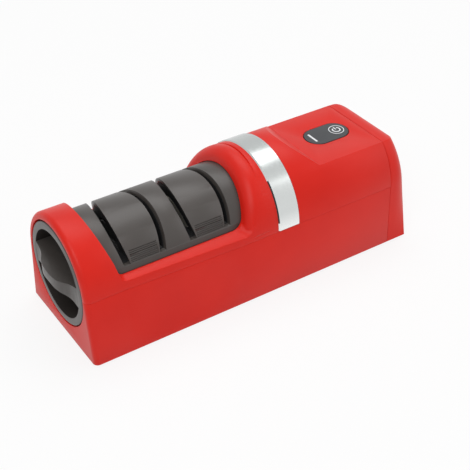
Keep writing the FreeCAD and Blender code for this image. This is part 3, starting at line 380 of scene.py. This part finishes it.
# %% Red housing
band_low, band_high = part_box("chrome_band")
BAND_X0, BAND_X1 = band_low.x / MM, band_high.x / MM
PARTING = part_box("lower_housing")[1].z / MM
CASINGS = (("lower_housing", "Lower_Casing", 0.25),
           ("upper_housing", "Upper_Casing", 0.25),
           ("rear_cap", "Rear_Casing", 0.5))
CLOSE_FIT_FROM, NEAR_PARTING = BAND_X1 - 1, 0.4


def shows_as_edge(a, b):
    middle = (a + b) / 2
    return not (middle.x > CLOSE_FIT_FROM and abs(middle.z - PARTING) < NEAR_PARTING)


casings = {}
for node, name, radius_mm in CASINGS:
    casings[node] = copy_of(node, name)
    bevel_picked(casings[node], shows_as_edge, radius_mm, 2)
print("parting line at", round(PARTING, 2), "mm")

# %% [markdown]
# ## The lip behind the rear seam
# The rear cap slips over a lip on the two casings, so no light shows through the seam. It is the casings'
# own cross-section, made a little smaller and drawn two millimetres along X.

# %% Seam lip
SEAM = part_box("upper_housing")[1].x / MM
SECTION_BACK, LIP_BACK, LIP_AHEAD = 1.2, 1.0, 0.9
LIP_SCALE, LIP_CENTRE = 0.984, 32.0


def section_prism(node, name, cut_mm, x0_mm, x1_mm):
    piece = copy_of(node, name)
    edit_all(piece)
    bpy.ops.mesh.bisect(plane_co=(cut_mm * MM, 0, 0), plane_no=(1, 0, 0), use_fill=True,
                        clear_inner=True, clear_outer=True)
    bpy.ops.mesh.select_all(action="SELECT")
    bpy.ops.transform.translate(value=((x0_mm - cut_mm) * MM, 0, 0))
    bpy.ops.mesh.extrude_region_move(TRANSFORM_OT_translate={"value": ((x1_mm - x0_mm) * MM, 0, 0)})
    bpy.ops.mesh.select_all(action="SELECT")
    bpy.ops.mesh.normals_make_consistent(inside=False)
    bpy.ops.object.mode_set(mode="OBJECT")
    return piece


for node, name in (("lower_housing", "Seam_Lip_Lower"), ("upper_housing", "Seam_Lip_Upper")):
    lip = section_prism(node, name, SEAM - SECTION_BACK, SEAM - LIP_BACK, SEAM + LIP_AHEAD)
    edit_all(lip)
    bpy.ops.transform.resize(value=(1.0, LIP_SCALE, LIP_SCALE), center_override=(0, 0, LIP_CENTRE * MM))
    bpy.ops.object.mode_set(mode="OBJECT")
    finish_piece(lip, red_abs, home[node])

# %% [markdown]
# ## The hood's shoulder
# The hood ends in front in a round shoulder that leans back by 16 degrees and lies round the barrel. The
# solid's own shoulder has a step and a slit near the top, so here it is made whole: a cylinder of the
# hood's radius, cut along the leaning plane, its front edge rounded, bored for the barrel and joined on.

# %% Hood shoulder
HOOD_RADIUS, HOOD_CENTRE, BARREL_AXIS, BORE = 30.28, 32.6, 32.5, 24.55
LEAN = math.radians(16.0)
LEAN_X, LEAN_Z = -5.1, 38.4
SHOULDER_ROUND, SHOULDER_START, SHOULDER_FOOT = 4.6, -20.0, 35.5
BAND_GAP = 0.35
BORE_REACH = 40.0
ON_EDGE = 0.01


def apply_modifier(piece, kind, **settings):
    activate(piece)
    modifier = piece.modifiers.new(kind.title(), kind)
    for key, value in settings.items():
        setattr(modifier, key, value)
    bpy.ops.object.modifier_apply(modifier=modifier.name)


def combine(piece, tool, operation):
    apply_modifier(piece, "BOOLEAN", object=tool, operation=operation, solver="EXACT")
    activate(tool)
    bpy.ops.object.delete()
    smooth_by_angle(piece)


def cylinder_x(name, radius_mm, x0_mm, x1_mm, z_mm):
    deselect()
    bpy.ops.mesh.primitive_cylinder_add(vertices=160, radius=radius_mm * MM, depth=(x1_mm - x0_mm) * MM,
                                        location=((x0_mm + x1_mm) / 2 * MM, 0, z_mm * MM),
                                        rotation=(0, math.pi / 2, 0))
    piece = bpy.context.active_object
    piece.name = name
    bpy.ops.object.transform_apply(location=True, rotation=True, scale=True)
    return piece


def cut_off(piece, point_mm, normal):
    edit_all(piece)
    bpy.ops.mesh.bisect(plane_co=Vector(point_mm) * MM, plane_no=normal, clear_outer=True, use_fill=True)
    bpy.ops.object.mode_set(mode="OBJECT")


def on_leaning_face(a, b):
    return all(abs(p.x - LEAN_X - (p.z - LEAN_Z) * math.tan(LEAN)) < ON_EDGE for p in (a, b))


shoulder = cylinder_x("Hood_Shoulder", HOOD_RADIUS, SHOULDER_START, BAND_X0 - BAND_GAP, HOOD_CENTRE)
cut_off(shoulder, (LEAN_X, 0, LEAN_Z), (-math.cos(LEAN), 0, math.sin(LEAN)))
bevel_picked(shoulder, on_leaning_face, SHOULDER_ROUND, 8)
combine(shoulder, cylinder_x("Barrel_Bore", BORE, -BORE_REACH, BORE_REACH, BARREL_AXIS), "DIFFERENCE")
cut_off(shoulder, (0, 0, SHOULDER_FOOT), (0, 0, -1))
combine(casings["upper_housing"], shoulder, "UNION")
for node, piece in casings.items():
    finish_piece(piece, red_abs, home[node])
    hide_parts(node)

# %% [markdown]
# ## The chrome band
# A plated strip let into the hood. It is drawn again from its own cross-section, so that its faces run
# straight along X and mirror cleanly. The front edge has a wide chamfer, the rear one a small radius.

# %% Chrome band
BAND_INSIDE = 30.0
BAND_CHAMFER, BAND_RADIUS = 1.5, 0.3
DARK_REFLECTION_LOW, DARK_REFLECTION_HIGH = 37.5, 55.0
CHAMFER_LEAST, CHAMFER_MOST = -0.95, -0.4


def band_rim(x_mm):
    def on_rim(a, b):
        outside = all(math.hypot(p.y, p.z - HOOD_CENTRE) > BAND_INSIDE for p in (a, b))
        at_end = all(abs(p.x - x_mm) < ON_EDGE for p in (a, b))
        return outside and at_end and max(a.z, b.z) > BAND_FOOT
    return on_rim


band = section_prism("chrome_band", "Chrome_Band", (BAND_X0 + BAND_X1) / 2, BAND_X0, BAND_X1)
bevel_picked(band, band_rim(BAND_X0), BAND_CHAMFER, 1)
bevel_picked(band, band_rim(BAND_X1), BAND_RADIUS, 3)
finish_piece(band, chrome, home["chrome_band"])
# Chamfer faces between these heights take the painted dark reflection.
band.data.materials.append(dark_reflection_chrome)
for face in band.data.polygons:
    middle = face.center / MM
    slanted = CHAMFER_LEAST < face.normal.x < CHAMFER_MOST
    chamfer = slanted and middle.x < BAND_X0 + BAND_CHAMFER + 0.1
    if chamfer and DARK_REFLECTION_LOW < middle.z < DARK_REFLECTION_HIGH:
        face.material_index = 1
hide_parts("chrome_band")

# %% [markdown]
# ## The barrel
# The barrel's slots have a small radius on their edges, which shows as a thin light line. Low on the two
# blocks between the slots, on each side, seven fine grooves run along the barrel. Each is a thin block,
# turned about the barrel's axis, and all of them are cut away together.

# %% Barrel
GROOVE_SPANS = ((-60.3, -46.8), (-27.2, -13.3))
GROOVES, FIRST_ANGLE, ANGLE_STEP = 7, 56.0, 2.0
GROOVE_WIDTH, GROOVE_HEIGHT, GROOVE_RADIUS = 0.42, 0.8, 24.2


def round_edges(piece, width_mm, segments=2):
    apply_modifier(piece, "BEVEL", width=width_mm * MM, segments=segments, limit_method="ANGLE",
                   angle_limit=SHARP, miter_outer="MITER_ARC", use_clamp_overlap=True)
    smooth_by_angle(piece)


def block(name, centre, size):
    deselect()
    bpy.ops.mesh.primitive_cube_add(size=1.0, location=centre, scale=size)
    piece = bpy.context.active_object
    piece.name = name
    return piece


def join(pieces):
    deselect()
    for piece in pieces:
        piece.select_set(True)
    bpy.context.view_layer.objects.active = pieces[-1]
    bpy.ops.object.join()
    bpy.ops.object.transform_apply(location=True, rotation=True, scale=True)
    return bpy.context.active_object


def groove_cutter(x0_mm, x1_mm, angle):
    cutter = block("Groove", ((x0_mm + x1_mm) / 2 * MM, 0, GROOVE_RADIUS * MM),
                   ((x1_mm - x0_mm) * MM, GROOVE_WIDTH * MM, GROOVE_HEIGHT * MM))
    bpy.ops.object.transform_apply(location=True, rotation=True, scale=True)
    cutter.rotation_euler = (-angle, 0, 0)
    cutter.location = (0, 0, BARREL_AXIS * MM)
    return cutter


barrel = copy_of("barrel_cover", "Barrel")
round_edges(barrel, 0.3)
cutters = [groove_cutter(x0, x1, math.radians(FIRST_ANGLE + ANGLE_STEP * step) * side)
           for x0, x1 in GROOVE_SPANS for side in (-1, 1) for step in range(GROOVES)]
combine(barrel, join(cutters), "DIFFERENCE")
finish_piece(barrel, grey_abs, home["barrel_cover"])
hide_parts("barrel_cover")

# %% [markdown]
# ## The end knob
# A cap with two finger pockets and a waisted grip bar, its edges softer than the housing's. The floors and
# the outer walls of the pockets get a second material, rougher and much darker; the dark is painted shade.

# %% End knob
# A dark, rough grey: painted shade for the knob's pockets.
recess_shade_abs = moulded_abs("Warm_Grey_ABS_painted_recess_shade", "292421", "211D1B", 0.6, 0.35, 0.02, sheen=0.2)
KNOB_AXIS = 31.6
POCKET_RADIUS, WALL_RADIUS = 20.85, 20.0
FLOOR_FROM, WALL_TO = 7, 9.5


def dress_copy(node, name, material, width_mm, segments=2):
    piece = copy_of(node, name)
    round_edges(piece, width_mm, segments)
    finish_piece(piece, material, home[node])
    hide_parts(node)
    return piece


knob = dress_copy("knob_cap", "End_Knob", grey_abs, 0.7, 3)
# The second material is the painted shade in the pockets.
knob.data.materials.append(recess_shade_abs)
knob_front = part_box("upper_housing")[0].x / MM
for face in knob.data.polygons:
    middle = face.center / MM
    radius = math.hypot(middle.y, middle.z - KNOB_AXIS)
    floor = face.normal.x < -0.9 and middle.x > knob_front + FLOOR_FROM
    wall = radius > WALL_RADIUS and abs(face.normal.x) < 0.3 and middle.x < knob_front + WALL_TO
    if radius < POCKET_RADIUS and (floor or wall):
        face.material_index = 1

# %% [markdown]
# ## The button
# The pill sits in a matching hole in the flat top. The gap round it shows as a thin dark line.

# %% Button
dress_copy("power_button", "Power_Button", charcoal_abs, 0.25)

# %% [markdown]
# ## The printed power icon
# A ring, an open circle and a short stroke, printed on the button. Each is a plate 0.04 mm high. A ring
# starts as one point, which is extruded to a short line, spun round the centre and given its thickness.

# %% Power icon
button_low, button_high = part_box("power_button")
button_top = button_high.z
INK = 0.04 * MM
ICON_OFFSET_MM = 6.2
ICON_X = (button_low.x + button_high.x) / 2 + ICON_OFFSET_MM * MM
FULL_TURN, OPEN_TURN = 360.0, 290.0
STROKE_Y, STROKE_WIDTH, STROKE_LENGTH = 1.35 * MM, 0.6 * MM, 2.3 * MM


def flat_ring(name, outer_mm, inner_mm, sweep, steps):
    deselect()
    bpy.ops.mesh.primitive_plane_add(size=1.0, location=(0, 0, 0))
    ring = bpy.context.active_object
    ring.name = name
    edit_all(ring)
    bpy.ops.mesh.merge(type="CENTER")
    bpy.ops.transform.translate(value=(outer_mm * MM, 0, 0))
    bpy.ops.mesh.extrude_region_move(TRANSFORM_OT_translate={"value": ((inner_mm - outer_mm) * MM, 0, 0)})
    bpy.ops.mesh.select_all(action="SELECT")
    bpy.ops.mesh.spin(steps=steps, angle=math.radians(sweep), center=(0, 0, 0), axis=(0, 0, 1))
    bpy.ops.mesh.select_all(action="SELECT")
    bpy.ops.mesh.remove_doubles(threshold=0.002 * MM)
    bpy.ops.object.mode_set(mode="OBJECT")
    if sweep < FULL_TURN:
        middle = sum((vertex.co for vertex in ring.data.vertices), Vector())
        ring.rotation_euler = (0, 0, -math.pi / 2 - math.atan2(middle.y, middle.x))
        bpy.ops.object.transform_apply(location=False, rotation=True, scale=False)
    apply_modifier(ring, "SOLIDIFY", thickness=INK, offset=0.0)
    ring.location = (ICON_X, 0, button_top + INK / 2)
    activate(ring)
    bpy.ops.object.transform_apply(location=True, rotation=True, scale=True)
    edit_all(ring)
    bpy.ops.mesh.normals_make_consistent(inside=False)
    bpy.ops.object.mode_set(mode="OBJECT")
    return ring


outer_ring = flat_ring("Icon_Ring", 3.9, 3.5, FULL_TURN, 72)
open_circle = flat_ring("Icon_Circle", 2.2, 1.55, OPEN_TURN, 54)
stroke = block("Icon_Stroke", (ICON_X, STROKE_Y, button_top + INK / 2),
               (STROKE_WIDTH, STROKE_LENGTH, INK))
for mark in (outer_ring, open_circle, stroke):
    finish_piece(mark, white_ink, "button")

# %% [markdown]
# ## Screws in the base
# The four base screws have a cross recess. Two sets of thin blocks are cut from a copy of them.

# %% Base screws
screw_low, screw_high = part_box("base_screws")
HEAD_RADIUS = 2.7 * MM
CROSS_LONG, CROSS_WIDE, CROSS_HEIGHT = 3.4 * MM, 0.75 * MM, 1.1 * MM
cross_z = screw_low.z + 0.2 * MM

screws = copy_of("base_screws", "Base_Screws")
for length, width in ((CROSS_LONG, CROSS_WIDE), (CROSS_WIDE, CROSS_LONG)):
    cutters = [block("Cross", (x, y, cross_z), (length, width, CROSS_HEIGHT))
               for x in (screw_low.x + HEAD_RADIUS, screw_high.x - HEAD_RADIUS)
               for y in (screw_low.y + HEAD_RADIUS, screw_high.y - HEAD_RADIUS)]
    combine(screws, join(cutters), "DIFFERENCE")
finish_piece(screws, bright_steel, home["base_screws"])
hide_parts("base_screws")

# %% [markdown]
# ## The pieces that keep their CAD shape
# Inner pieces have the right form already. They only get their real finish.

# %% Finishes on CAD nodes
FINISH = {
    "base_cover": black_abs, "rubber_feet": foot_rubber,
    "front_blade_guide": black_abs, "rear_blade_guide": black_abs, "board_screws": bright_steel,
    "mount_screws": bright_steel, "motor_screws": bright_steel, "battery_cells": shrink_sleeve,
    "push_switch": black_abs, "charging_inlet": bright_steel, "front_bearing": sintered_bronze,
    "rear_bearing": sintered_bronze, "motor_case": motor_steel, "knob_seal": foot_rubber,
    "bearing_carrier": black_abs, "motor_mount": bright_steel, "control_board": solder_mask,
    "charging_board": solder_mask, "battery_tray": black_abs, "spindle": turned_steel,
    "coarse_wheel": coarse_stone, "fine_wheel": fine_stone, "wheel_spacer": turned_steel,
    "spindle_nut": bright_steel, "shaft_coupling": turned_steel, "rotor_shaft": turned_steel,
    "armature": winding_copper, "indicator_window": white_ink, "switch_plunger": charcoal_abs,
}
for node, material in FINISH.items():
    finishes = nodes[node].data.materials
    finishes.clear()
    finishes.append(material)
print("finished CAD pieces:", len(FINISH))

# %% [markdown]
# ## The table
# A wide sheet of white paper. Where the camera or a reflection looks at it, most of what is seen is plain
# white light, and the rest is the paper's own shaded surface, which keeps the sharpener's shadow.

# %% Table
TABLE_DROP_MM = 0.05
TABLE_GLOW = 0.84

deselect()
bpy.ops.mesh.primitive_plane_add(size=6.0, location=(0, 0, -TABLE_DROP_MM * MM))
table = bpy.context.active_object
table.name = "Table"
table_white = bpy.data.materials.new("White_Table_Paper")
table_white.use_nodes = True
tree = table_white.node_tree
shader = tree.nodes["Principled BSDF"]
shader.inputs["Base Color"].default_value = linear("F2F2F2")
shader.inputs["Roughness"].default_value = 0.9
glow = add(tree, "Emission", Color=(1, 1, 1, 1), Strength=1.0)
path = add(tree, "LightPath")
seen = add(tree, "Math", {"operation": "MAXIMUM"}, i0=path.outputs["Is Camera Ray"],
           i1=path.outputs["Is Glossy Ray"])
share = add(tree, "Math", {"operation": "MULTIPLY"}, i0=seen.outputs[0], i1=TABLE_GLOW)
blend = add(tree, "MixShader", Fac=share.outputs[0], i1=shader.outputs[0], i2=glow.outputs[0])
tree.links.new(blend.outputs[0], tree.nodes["Material Output"].inputs["Surface"])
table.data.materials.append(table_white)
print("table", round(table.location.z / MM, 2), "mm below the feet")

# %% [markdown]
# ## The room
# A white room. Looked at directly or in a reflection it is plain white, but it lights the sharpener only
# dimly, so that the lamps shape it.

# %% Room
ROOM_LIGHT = 0.36

world = bpy.data.worlds.new("White_Room")
bpy.context.scene.world = world
world.use_nodes = True
tree = world.node_tree
background = tree.nodes["Background"]
background.inputs["Color"].default_value = (1, 1, 1, 1)
path = add(tree, "LightPath")
direct = add(tree, "Math", {"operation": "MAXIMUM"}, i0=path.outputs["Is Camera Ray"],
             i1=path.outputs["Is Transmission Ray"])
seen = add(tree, "Math", {"operation": "MAXIMUM"}, i0=direct.outputs[0], i1=path.outputs["Is Glossy Ray"])
level = add(tree, "MapRange", Value=seen.outputs[0], To_Min=ROOM_LIGHT, To_Max=1.0)
tree.links.new(level.outputs["Result"], background.inputs["Strength"])
print("room light:", ROOM_LIGHT)

# %% [markdown]
# ## The lamps
# Three large soft lamps: a key from the front left, a wide one overhead and a weak one from the right.

# %% Lamps
LAMP_TARGET = (0, 0, 0.03)


def soft_lamp(name, place, size, power):
    data = bpy.data.lights.new(name, "AREA")
    data.shape = "RECTANGLE"
    data.size, data.size_y = size
    data.energy = power
    lamp = bpy.data.objects.new(name, data)
    bpy.context.scene.collection.objects.link(lamp)
    lamp.location = place
    aim = Vector(LAMP_TARGET) - Vector(place)
    lamp.rotation_euler = aim.to_track_quat("-Z", "Y").to_euler()
    print(name, power, "W")


soft_lamp("Key_Softbox", (-0.5, -0.5, 0.9), (0.7, 0.7), 4.8)
soft_lamp("Top_Softbox", (0.2, 0.3, 1.0), (0.9, 0.6), 4.6)
soft_lamp("Side_Softbox", (0.8, -0.5, 0.5), (0.5, 0.7), 1.4)
bpy.context.scene.view_settings.view_transform = "Standard"
